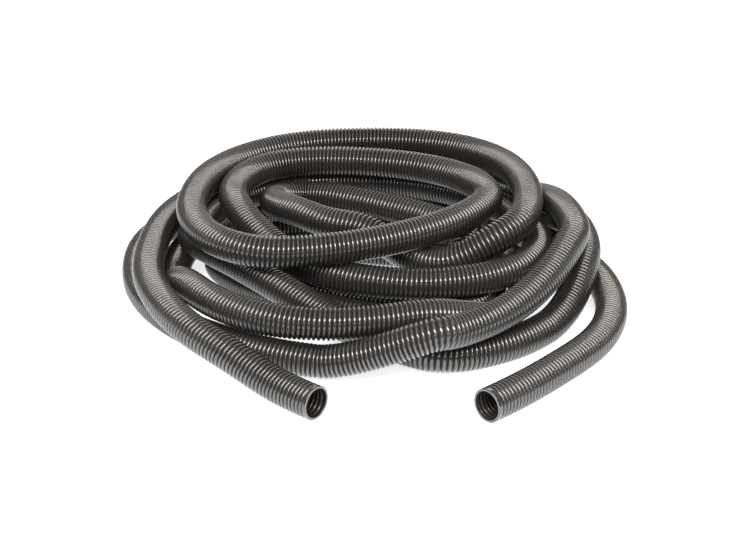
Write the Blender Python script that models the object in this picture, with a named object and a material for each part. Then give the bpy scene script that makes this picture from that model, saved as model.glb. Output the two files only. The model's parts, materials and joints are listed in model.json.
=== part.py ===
"""Ribbed vacuum hose lying in a loose coil: one bare hose with an open cut at each end.

The hose is stored as consecutive lengths. The two free ends are real tubes with open
mouths. The laps between them are plain solid tubes on the hose's centreline.
Metres, +Z up. The origin is at the centre of the bounding box's bottom face.
"""

import bpy
import bmesh
import math
import numpy as np

HOSE_OD = 0.0463        # over the ridges
HOSE_ID = 0.0381        # 1.5 inch bore
LAP_RADIUS = 0.48       # plain radius of a lap's solid, in hose diameters
RING_STEP = 0.7         # distance between the rings of a tube, in hose diameters
END_STEP = 0.13         # short straight step at each cut, in hose diameters
JOINT_GAP = 0.0004      # clear gap between two neighbouring lengths
END_SIDES = 24          # sides of a free end's tube
LAP_BEVEL = 3           # a lap's tube has ten sides
FLOOR_HEIGHT = 0.5      # centreline height of a length that lies on the floor
QUARTER_STEPS = 6       # steps in a quarter of a turn

# The centreline, from the right mouth to the left one, in hose diameters.
# X runs to the right, Y to the back and Z up. A length on the floor is at 0.5,
# one that lies on it is near 1.45, and the top layer is near 2.45.
#
# A loose length is its own stations, (x, y, z). A turn is its four sides in order: where it
# runs furthest right, back, left and front. A side is (x, y, z, fullness, climb from, climb
# to). Fullness shapes the quarter that follows: 2 is an ellipse, less is flatter, more is
# squarer. The height changes between those two shares of the quarter.
ROUTE = [
    ("free_end_right", "loose", [
        (3.05, -7.2, 0.5), (4.1, -6.2, 0.5), (5.45, -4.7, 0.5), (6.6, -3.1, 0.5),
        (7.25, -1.2, 0.5),
    ]),
    # Floor lap, which climbs at the left and drops inside at the right.
    ("lap_1", "turn", [
        (7.3, 0.6, 0.5, 1.65, 0.0, 1.0), (0.0, 8.0, 0.5, 2.2, 0.0, 1.0),
        (-6.5, 2.2, 0.5, 2.0, 0.05, 0.42), (-1.5, -4.1, 1.49, 2.0, 0.26, 0.7),
    ]),
    # Floor lap inside it.
    ("lap_2", "turn", [
        (4.8, 1.3, 0.5, 2.3, 0.0, 1.0), (-0.6, 5.2, 0.5, 2.8, 0.0, 1.0),
        (-5.1, 2.6, 0.5, 1.5, 0.0, 1.0), (1.1, -1.9, 0.5, 1.85, 0.0, 1.0),
    ]),
    # Innermost floor lap, which climbs at the right.
    ("lap_3", "turn", [
        (3.75, 1.3, 0.5, 2.0, 0.0, 1.0), (-2.0, 3.7, 0.5, 2.0, 0.0, 1.0),
        (-3.75, 2.3, 0.5, 1.5, 0.0, 1.0), (1.0, -0.5, 0.5, 2.0, 0.45, 0.85),
    ]),
    # Small kinked loop in the middle, then up to the top layer at the right.
    ("lap_4", "loose", [
        (3.0, 2.8, 1.47), (2.4, 3.6, 1.47), (1.2, 4.5, 1.5), (-0.3, 5.4, 1.5),
        (-1.5, 6.0, 1.5), (-2.6, 6.2, 1.5), (-3.4, 5.5, 1.6), (-3.2, 4.4, 1.8),
        (-2.5, 3.3, 2.0), (-1.5, 2.4, 2.0), (-0.6, 2.0, 2.0), (0.1, 1.7, 1.8),
        (0.8, 1.2, 1.5), (1.6, 0.5, 1.45), (2.4, 0.1, 1.65), (3.2, 0.1, 2.05),
        (3.8, 0.3, 2.35), (4.3, 0.7, 2.5), (4.7, 1.4, 2.6),
    ]),
    # Top outer lap.
    ("lap_5", "turn", [
        (5.0, 3.4, 2.6, 2.3, 0.0, 1.0), (-0.2, 9.1, 2.45, 2.15, 0.0, 1.0),
        (-5.95, 3.2, 2.47, 2.1, 0.0, 1.0), (-2.9, -1.15, 2.47, 1.65, 0.0, 1.0),
    ]),
    # Top inner lap, which dives under the one above at the front.
    ("lap_6", "turn", [
        (3.7, 3.5, 2.47, 2.0, 0.0, 1.0), (-1.6, 7.0, 2.45, 2.4, 0.0, 1.0),
        (-4.7, 4.1, 2.35, 1.75, 0.1, 0.7), (1.2, -1.3, 1.48, 2.05, 0.0, 1.0),
    ]),
    # Second layer round the back, then down to the floor at the front and up at the right.
    ("lap_7", "turn", [
        (5.25, 2.0, 1.49, 1.95, 0.0, 1.0), (-0.8, 7.65, 1.46, 2.1, 0.0, 1.0),
        (-5.9, 2.4, 1.47, 1.22, 0.3, 0.8), (1.9, -4.2, 0.5, 1.8, 0.5, 0.95),
    ]),
    # Down at the back to the outermost floor lap, then over everything at the front right.
    ("lap_8", "turn", [
        (6.75, 2.0, 1.49, 2.4, 0.05, 0.45), (0.0, 9.4, 0.5, 2.0, 0.0, 1.0),
        (-7.8, 3.3, 0.5, 2.2, 0.8, 1.0), (1.6, -4.9, 1.5, 1.4, 0.35, 0.95),
    ]),
    # Round the back on the second layer to the left side.
    ("lap_9", "turn", [
        (6.25, 0.9, 2.38, 2.2, 0.05, 0.55), (0.0, 8.95, 1.45, 2.3, 0.0, 1.0),
    ]),
    ("lap_10", "loose", [
        (-7.15, 1.8, 1.45), (-7.0, -0.4, 1.5), (-6.65, -1.75, 1.5), (-6.05, -3.1, 1.45),
        (-5.2, -4.25, 1.3),
    ]),
    ("free_end_left", "loose", [
        (-4.05, -5.2, 1.0), (-2.8, -6.1, 0.6), (-1.6, -7.05, 0.5),
    ]),
]


def clear_scene():
    for item in list(bpy.data.objects):
        bpy.data.objects.remove(item, do_unlink=True)


def hose_material(name, grey):
    material = bpy.data.materials.new(name)
    material.use_nodes = True
    shader = material.node_tree.nodes["Principled BSDF"]
    shader.inputs["Base Color"].default_value = (grey, grey * 0.96, grey * 0.92, 1.0)
    shader.inputs["Roughness"].default_value = 0.35
    shader.inputs["Metallic"].default_value = 0.0
    return material


def quarter_points(number, side, goal):
    """Stations between one side of a turn and the next. Sides 0 and 2 set out along Y."""
    x, y, z, fullness, climb_from, climb_to = side
    points = []
    for i in range(1, QUARTER_STEPS):
        share = i / QUARTER_STEPS
        leaving = math.cos(share * math.pi / 2.0) ** (2.0 / fullness)
        arriving = math.sin(share * math.pi / 2.0) ** (2.0 / fullness)
        climbed = min(max((share - climb_from) / (climb_to - climb_from), 0.0), 1.0)
        climbed = climbed * climbed * (3.0 - 2.0 * climbed)
        if number % 2 == 0:
            place = (goal[0] + (x - goal[0]) * leaving, y + (goal[1] - y) * arriving)
        else:
            place = (x + (goal[0] - x) * arriving, goal[1] + (y - goal[1]) * leaving)
        points.append((place[0], place[1], z + (goal[2] - z) * climbed))
    return points


def route_stations():
    """Every station of the route, and the number of each length's first one."""
    corners = []
    for name, kind, rows in ROUTE:
        for number, row in enumerate(rows):
            corners.append((name, kind, number, row))
    stations = []
    first = {}
    for here, ahead in zip(corners, corners[1:] + [None]):
        name, kind, number, row = here
        first.setdefault(name, len(stations))
        stations.append(row[:3])
        if kind == "turn":
            stations.extend(quarter_points(number, row, ahead[3]))
    return stations, first


def smooth_curve(stations):
    """Natural cubic spline through the stations, as a function of its own parameter."""
    points = np.array(stations, dtype=float)
    steps = np.sqrt(np.linalg.norm(np.diff(points, axis=0), axis=1))
    knots = np.concatenate([[0.0], np.cumsum(steps)])
    count = len(points)
    matrix = np.zeros((count, count))
    right = np.zeros((count, 3))
    matrix[0, 0] = 1.0
    matrix[-1, -1] = 1.0
    for i in range(1, count - 1):
        matrix[i, i - 1] = steps[i - 1]
        matrix[i, i] = 2.0 * (steps[i - 1] + steps[i])
        matrix[i, i + 1] = steps[i]
        ahead = (points[i + 1] - points[i]) / steps[i]
        behind = (points[i] - points[i - 1]) / steps[i - 1]
        right[i] = 6.0 * (ahead - behind)
    bend = np.linalg.solve(matrix, right)

    def position(values):
        values = np.asarray(values, dtype=float)
        k = np.clip(np.searchsorted(knots, values, side="right") - 1, 0, count - 2)
        width = steps[k][:, None]
        a = (knots[k + 1] - values)[:, None]
        b = (values - knots[k])[:, None]
        cubic = (bend[k] * a ** 3 + bend[k + 1] * b ** 3) / (6.0 * width)
        line_a = (points[k] / width - bend[k] * width / 6.0) * a
        line_b = (points[k + 1] / width - bend[k + 1] * width / 6.0) * b
        result = cubic + line_a + line_b
        result[:, 2] = np.maximum(result[:, 2], FLOOR_HEIGHT)
        return result

    return knots, position


class Centreline:
    """The hose's centreline in metres, read by distance from the right mouth."""

    def __init__(self):
        stations, self.first = route_stations()
        knots, position = smooth_curve(stations)
        values = np.linspace(0.0, knots[-1], 20000)
        self.points = position(values) * HOSE_OD
        runs = np.linalg.norm(np.diff(self.points, axis=0), axis=1)
        self.distances = np.concatenate([[0.0], np.cumsum(runs)])
        self.length = self.distances[-1]
        self.station_distances = np.interp(knots, values, self.distances)

    def at(self, distance):
        return np.array([np.interp(distance, self.distances, self.points[:, i]) for i in range(3)])

    def tangent(self, distance):
        step = 0.1 * HOSE_OD
        before = self.at(max(distance - step, 0.0))
        after = self.at(min(distance + step, self.length))
        return (after - before) / np.linalg.norm(after - before)

    def span(self, name):
        """Start and end of one length. A cut lies at the first station of each length."""
        names = list(self.first)
        index = names.index(name)
        start = 0.0
        end = self.length
        if index > 0:
            start = self.station_distances[self.first[name]] + JOINT_GAP / 2.0
        if index < len(names) - 1:
            end = self.station_distances[self.first[names[index + 1]]] - JOINT_GAP / 2.0
        return start, end


def ring_distances(start, end):
    """Even rings along a length, with a short step at each end."""
    short = END_STEP * HOSE_OD
    inner = end - start - 2.0 * short
    count = max(2, int(math.ceil(inner / (RING_STEP * HOSE_OD))))
    middle = [start + short + inner * i / count for i in range(count + 1)]
    return [start] + middle + [end]


def lap_points(line, start, end):
    """Ring centres of a lap. The first and last steps are straight, so each cap is square."""
    places = [line.at(distance) for distance in ring_distances(start, end)]
    short = END_STEP * HOSE_OD
    places[1] = places[0] + line.tangent(start) * short
    places[-2] = places[-1] - line.tangent(end) * short
    return places


def build_lap(name, line, material):
    """Solid round tube: a bevelled curve with closed caps."""
    places = lap_points(line, *line.span(name))
    data = bpy.data.curves.new(name, "CURVE")
    data.dimensions = "3D"
    data.resolution_u = 1
    data.render_resolution_u = 0
    data.bevel_depth = LAP_RADIUS * HOSE_OD
    data.bevel_resolution = LAP_BEVEL
    data.use_fill_caps = True
    spline = data.splines.new("POLY")
    spline.points.add(len(places) - 1)
    for point, place in zip(spline.points, places):
        point.co = (place[0], place[1], place[2], 1.0)
    spline.use_smooth = True
    data.materials.append(material)
    item = bpy.data.objects.new(name, data)
    bpy.context.scene.collection.objects.link(item)
    return item


def build_free_end(name, line, material):
    """Round tube with an outer and an inner wall, and a flat cut at each end."""
    start, end = line.span(name)
    mesh = bmesh.new()
    outer = []
    inner = []
    for distance in ring_distances(start, end):
        centre = line.at(distance)
        along = line.tangent(distance)
        across = np.cross(along, (0.0, 0.0, 1.0))
        across = across / np.linalg.norm(across)
        over = np.cross(across, along)
        for rings, radius in ((outer, HOSE_OD / 2.0), (inner, HOSE_ID / 2.0)):
            ring = []
            for i in range(END_SIDES):
                angle = 2.0 * math.pi * i / END_SIDES
                spot = centre + radius * (math.cos(angle) * across + math.sin(angle) * over)
                ring.append(mesh.verts.new(spot))
            rings.append(ring)
    for i in range(END_SIDES):
        j = (i + 1) % END_SIDES
        for k in range(len(outer) - 1):
            wall = (outer[k][i], outer[k][j], outer[k + 1][j], outer[k + 1][i])
            mesh.faces.new(wall).smooth = True
            bore = (inner[k][j], inner[k][i], inner[k + 1][i], inner[k + 1][j])
            mesh.faces.new(bore).smooth = True
        mesh.faces.new((outer[0][j], outer[0][i], inner[0][i], inner[0][j]))
        mesh.faces.new((outer[-1][i], outer[-1][j], inner[-1][j], inner[-1][i]))
    bmesh.ops.recalc_face_normals(mesh, faces=mesh.faces[:])
    data = bpy.data.meshes.new(name)
    mesh.to_mesh(data)
    mesh.free()
    data.materials.append(material)
    item = bpy.data.objects.new(name, data)
    bpy.context.scene.collection.objects.link(item)
    return item


def bottom_centre(line):
    """Centre of the coil's plan and its lowest point, measured on the tubes' surfaces."""
    low = np.full(3, np.inf)
    high = np.full(3, -np.inf)
    for name in line.first:
        radius = LAP_RADIUS * HOSE_OD
        if name.startswith("free_end"):
            radius = HOSE_OD / 2.0
        for distance in ring_distances(*line.span(name)):
            reach = radius * np.sqrt(1.0 - line.tangent(distance) ** 2)
            low = np.minimum(low, line.at(distance) - reach)
            high = np.maximum(high, line.at(distance) + reach)
    return np.array([(low[0] + high[0]) / 2.0, (low[1] + high[1]) / 2.0, low[2]])


def main():
    clear_scene()
    line = Centreline()
    line.points = line.points - bottom_centre(line)
    for number, name in enumerate(line.first):
        material = hose_material(name + "_plastic", 0.045 + 0.004 * (number % 2))
        if name.startswith("free_end"):
            build_free_end(name, line, material)
        else:
            build_lap(name, line, material)


main()
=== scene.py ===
"""Looks of the ribbed vacuum hose that lies in a loose coil.

The hose is one continuous thin-walled tube with a helical rib and two open mouths. It follows
the route that the CAD lengths follow, so it lies where they are. Metres, +Z up.
"""

import json
import math

import bpy
import numpy as np
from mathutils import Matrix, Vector


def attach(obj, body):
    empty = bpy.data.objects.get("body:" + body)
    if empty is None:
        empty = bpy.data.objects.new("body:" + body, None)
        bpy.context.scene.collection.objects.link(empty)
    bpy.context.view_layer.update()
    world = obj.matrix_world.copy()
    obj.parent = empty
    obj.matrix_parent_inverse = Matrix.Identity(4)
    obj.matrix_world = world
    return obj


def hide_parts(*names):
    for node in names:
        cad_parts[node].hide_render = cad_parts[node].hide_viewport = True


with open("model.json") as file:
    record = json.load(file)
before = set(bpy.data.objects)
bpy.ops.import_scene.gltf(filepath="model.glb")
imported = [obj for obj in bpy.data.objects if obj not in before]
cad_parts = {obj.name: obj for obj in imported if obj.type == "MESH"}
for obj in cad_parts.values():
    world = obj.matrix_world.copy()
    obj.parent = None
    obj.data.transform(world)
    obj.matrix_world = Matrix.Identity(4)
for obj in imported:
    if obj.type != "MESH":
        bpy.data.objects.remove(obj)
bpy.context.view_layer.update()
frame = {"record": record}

HOSE_OD = 0.0463            # over the ribs
HOSE_ID = 0.0381            # 1.5 inch bore
FLOOR_HEIGHT = 0.5          # centreline height of a length on the floor, in hose diameters

RIB_TURNS = 2143.2          # turns of the rib from mouth to mouth
RIB_FIRST = 0.29            # where the rib runs out into the right mouth, as a share of a turn
RIB_DEPTH = 0.0034          # from a rib's top to the bottom of the groove
BORE_DEPTH = 0.0014         # the same on the inside
RIM_LENGTH = 0.0040         # the plain band at each mouth, where the rib is furthest from it
RIM_RADIUS = 0.0230         # outside of the plain band
RIM_WALL = 0.0034           # from the outside to the opening at the lip
RIB_START = 0.0022          # length over which the first rib rises out of the plain band
LIP_EDGE = 0.0005           # rounding of the lip
BORE_RIM_LENGTH = 0.0008    # the plain band inside each mouth
BORE_RIB_START = 0.0045     # length over which the first rib of the bore rises
SIDES = 30                  # points round the hose
RIBBED_BORE = 0.40          # length of ribbed bore behind each mouth; further in it is plain
PLAIN_RADIUS = 0.0187       # bore where it is plain
PLAIN_STEP = 0.014          # distance between the rings of the plain bore
BORE_HEIGHT = 0.3           # what the material takes as rib height where the bore is plain
RIM_HEIGHT = 0.8            # the same on the plain band outside

# Unevenness of a moulded hose.
TOP_WAVER = 0.00004         # of the rib tops
DEPTH_WAVER = 0.03          # of the groove's depth, as a share of it
SLOW_SLACK = 0.05           # of the distance between ribs, as a share of the pitch
QUICK_SLACK = 0.02          # the same, from rib to rib

# One rib, as (place along the pitch, height): the top, its shoulders and a narrow groove.
RIB_PROFILE = [
    (0.0, 1.0), (0.17, 0.92), (0.31, 0.64), (0.43, 0.03), (0.57, 0.03), (0.69, 0.64), (0.83, 0.92),
]
RIB_SPOTS = np.array([spot for spot, _ in RIB_PROFILE])
RIB_HEIGHTS = np.array([height for _, height in RIB_PROFILE])

CENTRELINE_POINTS = 60000   # points at which the centreline is worked out
AXIS_REACH = 0.1            # how far the direction is measured either way, in hose diameters

CAMERA_ELEVATION = 24.0     # degrees above the floor
CAMERA_DISTANCE = 50.0      # in hose diameters
CAMERA_AIM = (0.0, 0.0, 1.2)    # on the route's axes, in hose diameters
CAMERA_LENS = 76.94         # mm
CAMERA_SENSOR = 36.0        # mm

PLASTIC_DARK = (0.0135, 0.0122, 0.0112)
PLASTIC_PALE = (0.0185, 0.0168, 0.0155)
# Painted shade: the darker colour mixed into the bottom of the grooves, where the real shade
# falls.
GROOVE_PAINTED_SHADE = (0.007, 0.0063, 0.0058)
WORN_COLOUR = (0.034, 0.0318, 0.0295)

WARM = (1.0, 0.93, 0.87)    # colour of the lamps and of the wall behind
LAMP_AIM = (0.0, 0.0, 0.05)
FLOOR_HALF = 14.0
WALL_HALF = 4.5
WALL_BACK = 3.2             # how far the wall stands behind the coil

QUARTER_STEPS = 6       # steps in a quarter of a turn

# The centreline, from the right mouth to the left one, in hose diameters.
# X runs to the right, Y to the back and Z up. A length on the floor is at 0.5,
# one that lies on it is near 1.45, and the top layer is near 2.45.
#
# A loose length is its own stations, (x, y, z). A turn is its four sides in order: where it
# runs furthest right, back, left and front. A side is (x, y, z, fullness, climb from, climb
# to). Fullness shapes the quarter that follows: 2 is an ellipse, less is flatter, more is
# squarer. The height changes between those two shares of the quarter.
ROUTE = [
    ("free_end_right", "loose", [
        (3.05, -7.2, 0.5), (4.1, -6.2, 0.5), (5.45, -4.7, 0.5), (6.6, -3.1, 0.5),
        (7.25, -1.2, 0.5),
    ]),
    # Floor lap, which climbs at the left and drops inside at the right.
    ("lap_1", "turn", [
        (7.3, 0.6, 0.5, 1.65, 0.0, 1.0), (0.0, 8.0, 0.5, 2.2, 0.0, 1.0),
        (-6.5, 2.2, 0.5, 2.0, 0.05, 0.42), (-1.5, -4.1, 1.49, 2.0, 0.26, 0.7),
    ]),
    # Floor lap inside it.
    ("lap_2", "turn", [
        (4.8, 1.3, 0.5, 2.3, 0.0, 1.0), (-0.6, 5.2, 0.5, 2.8, 0.0, 1.0),
        (-5.1, 2.6, 0.5, 1.5, 0.0, 1.0), (1.1, -1.9, 0.5, 1.85, 0.0, 1.0),
    ]),
    # Innermost floor lap, which climbs at the right.
    ("lap_3", "turn", [
        (3.75, 1.3, 0.5, 2.0, 0.0, 1.0), (-2.0, 3.7, 0.5, 2.0, 0.0, 1.0),
        (-3.75, 2.3, 0.5, 1.5, 0.0, 1.0), (1.0, -0.5, 0.5, 2.0, 0.45, 0.85),
    ]),
    # Small kinked loop in the middle, then up to the top layer at the right.
    ("lap_4", "loose", [
        (3.0, 2.8, 1.47), (2.4, 3.6, 1.47), (1.2, 4.5, 1.5), (-0.3, 5.4, 1.5),
        (-1.5, 6.0, 1.5), (-2.6, 6.2, 1.5), (-3.4, 5.5, 1.6), (-3.2, 4.4, 1.8),
        (-2.5, 3.3, 2.0), (-1.5, 2.4, 2.0), (-0.6, 2.0, 2.0), (0.1, 1.7, 1.8),
        (0.8, 1.2, 1.5), (1.6, 0.5, 1.45), (2.4, 0.1, 1.65), (3.2, 0.1, 2.05),
        (3.8, 0.3, 2.35), (4.3, 0.7, 2.5), (4.7, 1.4, 2.6),
    ]),
    # Top outer lap.
    ("lap_5", "turn", [
        (5.0, 3.4, 2.6, 2.3, 0.0, 1.0), (-0.2, 9.1, 2.45, 2.15, 0.0, 1.0),
        (-5.95, 3.2, 2.47, 2.1, 0.0, 1.0), (-2.9, -1.15, 2.47, 1.65, 0.0, 1.0),
    ]),
    # Top inner lap, which dives under the one above at the front.
    ("lap_6", "turn", [
        (3.7, 3.5, 2.47, 2.0, 0.0, 1.0), (-1.6, 7.0, 2.45, 2.4, 0.0, 1.0),
        (-4.7, 4.1, 2.35, 1.75, 0.1, 0.7), (1.2, -1.3, 1.48, 2.05, 0.0, 1.0),
    ]),
    # Second layer round the back, then down to the floor at the front and up at the right.
    ("lap_7", "turn", [
        (5.25, 2.0, 1.49, 1.95, 0.0, 1.0), (-0.8, 7.65, 1.46, 2.1, 0.0, 1.0),
        (-5.9, 2.4, 1.47, 1.22, 0.3, 0.8), (1.9, -4.2, 0.5, 1.8, 0.5, 0.95),
    ]),
    # Down at the back to the outermost floor lap, then over everything at the front right.
    ("lap_8", "turn", [
        (6.75, 2.0, 1.49, 2.4, 0.05, 0.45), (0.0, 9.4, 0.5, 2.0, 0.0, 1.0),
        (-7.8, 3.3, 0.5, 2.2, 0.8, 1.0), (1.6, -4.9, 1.5, 1.4, 0.35, 0.95),
    ]),
    # Round the back on the second layer to the left side.
    ("lap_9", "turn", [
        (6.25, 0.9, 2.38, 2.2, 0.05, 0.55), (0.0, 8.95, 1.45, 2.3, 0.0, 1.0),
    ]),
    ("lap_10", "loose", [
        (-7.15, 1.8, 1.45), (-7.0, -0.4, 1.5), (-6.65, -1.75, 1.5), (-6.05, -3.1, 1.45),
        (-5.2, -4.25, 1.3),
    ]),
    ("free_end_left", "loose", [
        (-4.05, -5.2, 1.0), (-2.8, -6.1, 0.6), (-1.6, -7.05, 0.5),
    ]),
]


def row_shift():
    """From the route's axes to the record's frame: the right mouth is in both."""
    mouth = next(m for m in frame["record"]["mounts"] if m["name"] == "right_mouth")
    first = np.array(ROUTE[0][2][0]) * HOSE_OD
    place = np.array(mouth["pos_m"])
    return np.array([place[0] - first[0], place[1] - first[1], 0.0])


SHIFT = row_shift()


def quarter_points(number, side, goal):
    """Stations between one side of a turn and the next. Sides 0 and 2 set out along Y."""
    x, y, z, fullness, climb_from, climb_to = side
    points = []
    for i in range(1, QUARTER_STEPS):
        share = i / QUARTER_STEPS
        leaving = math.cos(share * math.pi / 2.0) ** (2.0 / fullness)
        arriving = math.sin(share * math.pi / 2.0) ** (2.0 / fullness)
        climbed = min(max((share - climb_from) / (climb_to - climb_from), 0.0), 1.0)
        climbed = climbed * climbed * (3.0 - 2.0 * climbed)
        if number % 2 == 0:
            place = (goal[0] + (x - goal[0]) * leaving, y + (goal[1] - y) * arriving)
        else:
            place = (x + (goal[0] - x) * arriving, goal[1] + (y - goal[1]) * leaving)
        points.append((place[0], place[1], z + (goal[2] - z) * climbed))
    return points


def route_stations():
    """Every station of the route, from the right mouth to the left one."""
    corners = []
    for _, kind, rows in ROUTE:
        for number, row in enumerate(rows):
            corners.append((kind, number, row))
    stations = []
    for here, ahead in zip(corners, corners[1:] + [None]):
        kind, number, row = here
        stations.append(row[:3])
        if kind == "turn":
            stations.extend(quarter_points(number, row, ahead[2]))
    return stations


def smooth_curve(stations):
    """Natural cubic spline through the stations: its knots, and the place at a value."""
    points = np.array(stations, dtype=float)
    steps = np.sqrt(np.linalg.norm(np.diff(points, axis=0), axis=1))
    knots = np.concatenate([[0.0], np.cumsum(steps)])
    count = len(points)
    matrix = np.zeros((count, count))
    right = np.zeros((count, 3))
    matrix[0, 0] = 1.0
    matrix[-1, -1] = 1.0
    for i in range(1, count - 1):
        matrix[i, i - 1] = steps[i - 1]
        matrix[i, i] = 2.0 * (steps[i - 1] + steps[i])
        matrix[i, i + 1] = steps[i]
        ahead = (points[i + 1] - points[i]) / steps[i]
        behind = (points[i] - points[i - 1]) / steps[i - 1]
        right[i] = 6.0 * (ahead - behind)
    bend = np.linalg.solve(matrix, right)

    def position(values):
        k = np.clip(np.searchsorted(knots, values, side="right") - 1, 0, count - 2)
        width = steps[k][:, None]
        a = (knots[k + 1] - values)[:, None]
        b = (values - knots[k])[:, None]
        cubic = (bend[k] * a ** 3 + bend[k + 1] * b ** 3) / (6.0 * width)
        line_a = (points[k] / width - bend[k] * width / 6.0) * a
        line_b = (points[k + 1] / width - bend[k + 1] * width / 6.0) * b
        result = cubic + line_a + line_b
        result[:, 2] = np.maximum(result[:, 2], FLOOR_HEIGHT)
        return result

    return knots, position


class Centreline:
    """The hose's centreline, read by distance from the right mouth."""

    def __init__(self):
        knots, position = smooth_curve(route_stations())
        values = np.linspace(0.0, knots[-1], CENTRELINE_POINTS)
        self.points = position(values) * HOSE_OD + SHIFT
        runs = np.linalg.norm(np.diff(self.points, axis=0), axis=1)
        self.distances = np.concatenate([[0.0], np.cumsum(runs)])
        self.length = float(self.distances[-1])

    def at(self, distance):
        """Places on the centreline, by distance from the right mouth."""
        return np.stack(
            [np.interp(distance, self.distances, self.points[:, i]) for i in range(3)], axis=-1)

    def axes(self, distance):
        """Unit vectors level across the hose and up over it."""
        step = AXIS_REACH * HOSE_OD
        ahead = self.at(np.minimum(distance + step, self.length))
        behind = self.at(np.maximum(distance - step, 0.0))
        along = ahead - behind
        along /= np.linalg.norm(along, axis=-1, keepdims=True)
        across = np.cross(along, np.array([0.0, 0.0, 1.0]))
        across /= np.linalg.norm(across, axis=-1, keepdims=True)
        return across, np.cross(across, along)


LINE = Centreline()
RIB_PITCH = LINE.length / RIB_TURNS


def make_camera():
    """At the height and distance of the real picture, looking along +Y."""
    elevation = math.radians(CAMERA_ELEVATION)
    distance = CAMERA_DISTANCE * HOSE_OD
    target = Vector(np.array(CAMERA_AIM) * HOSE_OD + SHIFT)
    data = bpy.data.cameras.new("camera")
    data.sensor_width = CAMERA_SENSOR
    data.lens = CAMERA_LENS
    data.clip_start = 0.05
    data.clip_end = 60.0
    item = bpy.data.objects.new("camera", data)
    item.location = target + distance * Vector((0.0, -math.cos(elevation), math.sin(elevation)))
    item.rotation_euler = (math.radians(90.0) - elevation, 0.0, 0.0)
    bpy.context.scene.collection.objects.link(item)
    bpy.context.scene.camera = item


make_camera()


# ---------------------------------------------------------------- the hose

def waver(distance, angle):
    """A value between -1 and 1 that changes along the hose and round it, without a seed."""
    return (
        0.5 * np.sin(distance * 61.0 + 1.3 + 0.9 * np.sin(angle + 0.4))
        + 0.3 * np.sin(distance * 173.0 + 2.0 * angle + 0.7)
        + 0.2 * np.sin(distance * 419.0 - angle)
    )


def rib_height(place):
    """Height of the rib, from 0 in the groove to 1 at the top, at a place along the pitch."""
    spots = np.append(RIB_SPOTS, 1.0)
    heights = np.append(RIB_HEIGHTS, RIB_HEIGHTS[0])
    return np.interp(np.mod(place, 1.0), spots, heights)


def ribbed_share(distance, plain=RIM_LENGTH, rise=RIB_START):
    """0 on the plain band at a mouth, 1 where the rib is full."""
    from_end = np.minimum(distance, LINE.length - distance)
    share = np.clip((from_end - plain) / rise, 0.0, 1.0)
    return share * share * (3.0 - 2.0 * share)


def outer_radius(distance, angle, place):
    """Outside radius, and the rib height that the material goes by."""
    ribbed = ribbed_share(distance)
    plain = 1.0 - ribbed
    height = rib_height(place)
    top = HOSE_OD / 2.0 - TOP_WAVER * (1.0 + waver(distance, angle))
    uneven = 1.0 + DEPTH_WAVER * waver(distance * 1.7, angle + 2.0)
    rib = top - RIB_DEPTH * (1.0 - height) * uneven
    return ribbed * rib + plain * RIM_RADIUS, ribbed * height + plain * RIM_HEIGHT


def inner_radius(distance, angle, place):
    """The same for the bore. The rib shows softly in it, down to a plain band at the lip."""
    ribbed = ribbed_share(distance, BORE_RIM_LENGTH, BORE_RIB_START)
    height = rib_height(place)
    bore = HOSE_ID / 2.0 + BORE_DEPTH * height
    lip = RIM_RADIUS - RIM_WALL
    return ribbed * bore + (1.0 - ribbed) * lip, BORE_HEIGHT + 0.3 * height


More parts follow.
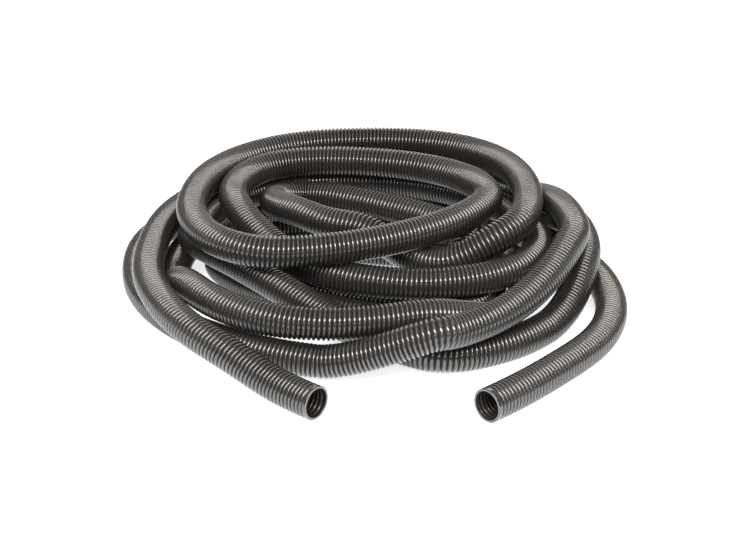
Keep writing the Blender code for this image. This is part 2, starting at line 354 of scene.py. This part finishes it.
class TubeMesh:
    """Collects the points and faces of the hose."""

    def __init__(self):
        self.points = []
        self.heights = []
        self.faces = []
        self.count = 0

    def add_points(self, distance, angle, radius, height):
        """Adds points at an angle round the hose and returns their numbers."""
        across, over = LINE.axes(distance)
        spots = LINE.at(distance) + radius[:, None] * (
            np.cos(angle)[:, None] * across + np.sin(angle)[:, None] * over)
        self.points.append(spots)
        self.heights.append(np.broadcast_to(height, radius.shape))
        first = self.count
        self.count += len(spots)
        return np.arange(first, self.count)

    def add_ring(self, distance, radius, height):
        """A flat ring of one radius."""
        angle = 2.0 * math.pi * np.arange(SIDES) / SIDES
        return self.add_points(
            np.full(SIDES, distance), angle, np.full(SIDES, radius), np.full(SIDES, height))

    def add_corners(self, corners):
        """Faces from rows of four point numbers. A row with two equal numbers is a triangle."""
        same = corners == np.roll(corners, -1, axis=1)
        for row, twins in zip(corners, same):
            kept = [int(point) for point, twin in zip(row, twins) if not twin]
            if len(kept) > 2:
                self.faces.append(kept)

    def add_band(self, ring_a, ring_b):
        """Faces between two rings of equal size."""
        next_a = np.roll(ring_a, -1)
        next_b = np.roll(ring_b, -1)
        self.faces.extend(np.stack([ring_a, next_a, next_b, ring_b], axis=1).tolist())

    def add_helix(self, start, end, radius_at):
        """Ribbed surface between two flat rings.

        Its rows follow the rib, so a row on top of the rib stays on top of it. After one
        round a row goes on as the row one pitch further along. Rows before the start or past
        the end close up on the flat rings.
        """
        per_pitch = len(RIB_PROFILE)
        low = int(math.floor(start / RIB_PITCH)) - 2
        high = int(math.ceil(end / RIB_PITCH)) + 1
        turns = np.arange(low, high)
        places = (turns[:, None] + RIB_SPOTS[None, :]).ravel()
        side = np.arange(SIDES)
        place = places[:, None] + np.zeros(SIDES)[None, :]
        raw = (places[:, None] + side[None, :] / SIDES - RIB_FIRST) * RIB_PITCH
        slack = RIB_PITCH * (
            SLOW_SLACK * np.sin(raw * 17.0) + QUICK_SLACK * np.sin(raw * 131.0 + 1.0))
        distance = raw + slack
        inside = (distance > start) & (distance < end)
        first_ring = self.add_edge(start, radius_at)
        last_ring = self.add_edge(end, radius_at)
        number = np.where(distance <= start, first_ring[None, :], last_ring[None, :])
        angle = np.broadcast_to(2.0 * math.pi * side / SIDES, place.shape)
        radius, height = radius_at(distance[inside], angle[inside], place[inside])
        number[inside] = self.add_points(distance[inside], angle[inside], radius, height)
        below = number[:-1]
        above = number[1:]
        rows = len(places) - 1
        beyond = number[per_pitch:, 0]
        next_below = np.concatenate([below[:, 1:], np.full((rows, 1), -1)], axis=1)
        next_above = np.concatenate([above[:, 1:], np.full((rows, 1), -1)], axis=1)
        reach = len(beyond) - 1
        next_below[:reach, -1] = beyond[:-1]
        next_above[:reach, -1] = beyond[1:]
        corners = np.stack([below, next_below, next_above, above], axis=-1).reshape(-1, 4)
        corners = corners[(corners >= 0).all(axis=1)]
        whole = (corners != np.roll(corners, -1, axis=1)).all(axis=1)
        self.faces.extend(corners[whole].tolist())
        self.add_corners(corners[~whole])
        return first_ring, last_ring

    def add_edge(self, distance, radius_at):
        """The flat ring where a ribbed surface starts or ends."""
        angle = 2.0 * math.pi * np.arange(SIDES) / SIDES
        place = distance / RIB_PITCH + RIB_FIRST - np.arange(SIDES) / SIDES
        radius, height = radius_at(np.full(SIDES, distance), angle, place)
        return self.add_points(np.full(SIDES, distance), angle, radius, height)

    def flip_from(self, first):
        """Turns the faces added since then over."""
        self.faces[first:] = [face[::-1] for face in self.faces[first:]]

    def to_object(self, name, material):
        data = bpy.data.meshes.new(name)
        data.from_pydata(np.concatenate(self.points).tolist(), [], self.faces)
        data.validate()
        data.polygons.foreach_set("use_smooth", [True] * len(data.polygons))
        layer = data.attributes.new("rib", "FLOAT", "POINT")
        layer.data.foreach_set("value", np.concatenate(self.heights).astype(np.float32))
        data.materials.append(material)
        data.update()
        item = bpy.data.objects.new(name, data)
        bpy.context.scene.collection.objects.link(item)
        return item


def build_mouth(tube, at_start, outer_ring, inner_ring):
    """Rounded lip between the outside and the bore, flush with the cut."""
    side = 1.0 if at_start else -1.0
    end = 0.0 if at_start else LINE.length
    bore = RIM_RADIUS - RIM_WALL
    shoulder = end + side * LIP_EDGE * 0.3
    lip = [
        tube.add_ring(shoulder, RIM_RADIUS - 0.3 * LIP_EDGE, 0.9),
        tube.add_ring(end, RIM_RADIUS - LIP_EDGE, 1.0),
        tube.add_ring(end, bore + LIP_EDGE, 1.0),
        tube.add_ring(shoulder, bore + 0.3 * LIP_EDGE, 0.9),
    ]
    rings = [outer_ring] + lip + [inner_ring]
    for ring_a, ring_b in zip(rings, rings[1:]):
        if at_start:
            tube.add_band(ring_b, ring_a)
        else:
            tube.add_band(ring_a, ring_b)


def build_hose(material):
    """The outside, the bore and the two lips, as one closed surface."""
    tube = TubeMesh()
    start = LIP_EDGE
    end = LINE.length - LIP_EDGE
    outer_first, outer_last = tube.add_helix(start, end, outer_radius)
    inner_from = len(tube.faces)
    near_first, near_last = tube.add_helix(start, RIBBED_BORE, inner_radius)
    far_first, far_last = tube.add_helix(LINE.length - RIBBED_BORE, end, inner_radius)
    plain_length = LINE.length - 2.0 * RIBBED_BORE
    count = int(math.ceil(plain_length / PLAIN_STEP))
    run = plain_length / count
    rings = [near_last]
    for i in range(1, count):
        rings.append(tube.add_ring(RIBBED_BORE + run * i, PLAIN_RADIUS, BORE_HEIGHT))
    rings.append(far_first)
    for ring_a, ring_b in zip(rings, rings[1:]):
        tube.add_band(ring_a, ring_b)
    tube.flip_from(inner_from)
    build_mouth(tube, True, outer_first, near_first)
    build_mouth(tube, False, outer_last, far_last)
    return tube.to_object("vacuum_hose", material)


def hose_material():
    """Dark warm grey plastic with duller grooves that have painted shade in them, and slightly
    worn rib tops.

    A clear coat on the ribs gives the sharp highlights. The grooves have none.
    """
    material = bpy.data.materials.new("hose_plastic")
    material.use_nodes = True
    nodes = material.node_tree.nodes
    links = material.node_tree.links
    shader = nodes["Principled BSDF"]
    shader.inputs["Metallic"].default_value = 0.0
    shader.inputs["IOR"].default_value = 1.5
    shader.inputs["Specular IOR Level"].default_value = 0.25
    shader.inputs["Coat IOR"].default_value = 1.75
    shader.inputs["Coat Roughness"].default_value = 0.13

    where = nodes.new("ShaderNodeTexCoord")
    rib = nodes.new("ShaderNodeAttribute")
    rib.attribute_name = "rib"

    def noise(scale, detail, roughness):
        node = nodes.new("ShaderNodeTexNoise")
        node.inputs["Scale"].default_value = scale
        node.inputs["Detail"].default_value = detail
        node.inputs["Roughness"].default_value = roughness
        links.new(where.outputs["Object"], node.inputs["Vector"])
        return node.outputs["Fac"]

    def remap(value, low, high, out_low, out_high):
        node = nodes.new("ShaderNodeMapRange")
        node.inputs["From Min"].default_value = low
        node.inputs["From Max"].default_value = high
        node.inputs["To Min"].default_value = out_low
        node.inputs["To Max"].default_value = out_high
        links.new(value, node.inputs["Value"])
        return node.outputs["Result"]

    def mix(share, colour_a, colour_b):
        node = nodes.new("ShaderNodeMix")
        node.data_type = "RGBA"
        links.new(share, node.inputs["Factor"])
        for socket, colour in (("A", colour_a), ("B", colour_b)):
            pin = next(s for s in node.inputs if s.name == socket and s.type == "RGBA")
            if isinstance(colour, tuple):
                pin.default_value = (*colour, 1.0)
            else:
                links.new(colour, pin)
        return next(s for s in node.outputs if s.type == "RGBA")

    def combine(operation, value_a, value_b):
        node = nodes.new("ShaderNodeMath")
        node.operation = operation
        for pin, value in zip(node.inputs, (value_a, value_b)):
            if isinstance(value, float):
                pin.default_value = value
            else:
                links.new(value, pin)
        return node.outputs[0]

    broad = noise(7.0, 3.0, 0.55)
    fine = noise(420.0, 4.0, 0.6)
    grain = noise(1900.0, 2.0, 0.5)

    plastic = mix(remap(broad, 0.35, 0.65, 0.0, 1.0), PLASTIC_DARK, PLASTIC_PALE)
    # Painted shade: the grooves are mixed up to about half-way towards a darker colour, in place
    # of the shade inside them. The same mask also makes them rougher.
    groove = remap(rib.outputs["Fac"], 0.0, 0.45, 1.0, 0.0)
    shaded = mix(combine("MULTIPLY", groove, 0.55), plastic, GROOVE_PAINTED_SHADE)
    rib_top = remap(rib.outputs["Fac"], 0.86, 1.0, 0.0, 1.0)
    worn = combine("MULTIPLY", rib_top, remap(fine, 0.45, 0.75, 0.0, 0.35))
    links.new(mix(worn, shaded, WORN_COLOUR), shader.inputs["Base Color"])

    rough = combine("ADD", remap(broad, 0.3, 0.7, 0.34, 0.42), combine("MULTIPLY", groove, 0.2))
    links.new(rough, shader.inputs["Roughness"])
    links.new(remap(rib.outputs["Fac"], 0.35, 0.85, 0.0, 1.0), shader.inputs["Coat Weight"])

    bump = nodes.new("ShaderNodeBump")
    bump.inputs["Strength"].default_value = 0.04
    bump.inputs["Distance"].default_value = 0.00012
    links.new(combine("ADD", fine, combine("MULTIPLY", grain, 0.4)), bump.inputs["Height"])
    links.new(bump.outputs["Normal"], shader.inputs["Normal"])
    return material


hose = build_hose(hose_material())
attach(hose, "root")
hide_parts(*[name for name, _, _ in ROUTE])


# ---------------------------------------------------------------- floor and light

def make_floor():
    """Plain pale floor under the coil."""
    half = FLOOR_HALF
    data = bpy.data.meshes.new("floor")
    data.from_pydata(
        [(-half, -half, 0.0), (half, -half, 0.0), (half, half, 0.0), (-half, half, 0.0)],
        [], [(0, 1, 2, 3)])
    material = bpy.data.materials.new("floor_paper")
    material.use_nodes = True
    shader = material.node_tree.nodes["Principled BSDF"]
    shader.inputs["Base Color"].default_value = (0.84, 0.9, 0.95, 1.0)
    shader.inputs["Roughness"].default_value = 0.9
    shader.inputs["Specular IOR Level"].default_value = 0.1
    shader.inputs["Emission Color"].default_value = (0.98, 1.0, 1.0, 1.0)
    shader.inputs["Emission Strength"].default_value = 0.74
    data.materials.append(material)
    item = bpy.data.objects.new("floor", data)
    bpy.context.scene.collection.objects.link(item)


def make_backdrop():
    """Low pale wall behind the coil, past the picture's edge. Its top edge is lit.

    It only lights the hose and is mirrored in it: a view from behind sees through it.
    """
    data = bpy.data.meshes.new("backdrop")
    rows = [(0.0, 0.4), (1.36, 0.4), (1.44, 4.5)]   # height, and strength of the light below it
    points = []
    for height, _ in rows:
        points += [(-WALL_HALF, WALL_BACK, height), (WALL_HALF, WALL_BACK, height)]
    data.from_pydata(points, [], [(0, 1, 3, 2), (2, 3, 5, 4)])
    for number, (_, strength) in enumerate(rows[1:]):
        material = bpy.data.materials.new("backdrop_" + ("wall", "edge")[number])
        material.use_nodes = True
        shader = material.node_tree.nodes["Principled BSDF"]
        shader.inputs["Base Color"].default_value = (0.8, 0.8, 0.8, 1.0)
        shader.inputs["Roughness"].default_value = 0.9
        shader.inputs["Emission Color"].default_value = (*WARM, 1.0)
        shader.inputs["Emission Strength"].default_value = strength
        data.materials.append(material)
        data.polygons[number].material_index = number
    item = bpy.data.objects.new("backdrop", data)
    item.visible_camera = False
    bpy.context.scene.collection.objects.link(item)


def make_light(name, place, width, depth, power):
    """Rectangular lamp that is turned towards the coil and isn't seen itself."""
    data = bpy.data.lights.new(name, "AREA")
    data.shape = "RECTANGLE"
    data.size = width
    data.size_y = depth
    data.energy = power
    data.color = WARM
    item = bpy.data.objects.new(name, data)
    item.location = place
    direction = Vector(LAMP_AIM) - Vector(place)
    item.rotation_euler = direction.to_track_quat("-Z", "Y").to_euler()
    item.visible_camera = False
    bpy.context.scene.collection.objects.link(item)


def make_world():
    """Dim room: darker at the horizon than overhead."""
    world = bpy.data.worlds.new("studio")
    world.use_nodes = True
    nodes = world.node_tree.nodes
    links = world.node_tree.links
    back = nodes["Background"]
    where = nodes.new("ShaderNodeTexCoord")
    split = nodes.new("ShaderNodeSeparateXYZ")
    ramp = nodes.new("ShaderNodeValToRGB")
    ramp.color_ramp.elements[0].position = 0.0
    ramp.color_ramp.elements[0].color = (0.04, 0.04, 0.04, 1.0)
    ramp.color_ramp.elements[1].position = 1.0
    ramp.color_ramp.elements[1].color = (0.4, 0.4, 0.4, 1.0)
    links.new(where.outputs["Generated"], split.inputs[0])
    links.new(split.outputs["Z"], ramp.inputs["Fac"])
    links.new(ramp.outputs["Color"], back.inputs["Color"])
    back.inputs["Strength"].default_value = 1.0
    bpy.context.scene.world = world


make_floor()
make_world()
make_backdrop()
make_light("top", (0.0, -0.35, 1.90), 2.6, 1.5, 12.0)
make_light("front", (0.0, -1.38, 1.44), 2.8, 0.50, 70.0)
make_light("strip", (0.0, -3.0, 1.26), 4.4, 0.10, 26.0)
make_light("back", (0.0, 1.7, 1.4), 2.4, 0.6, 12.0)
bpy.context.scene.view_settings.view_transform = "Standard"
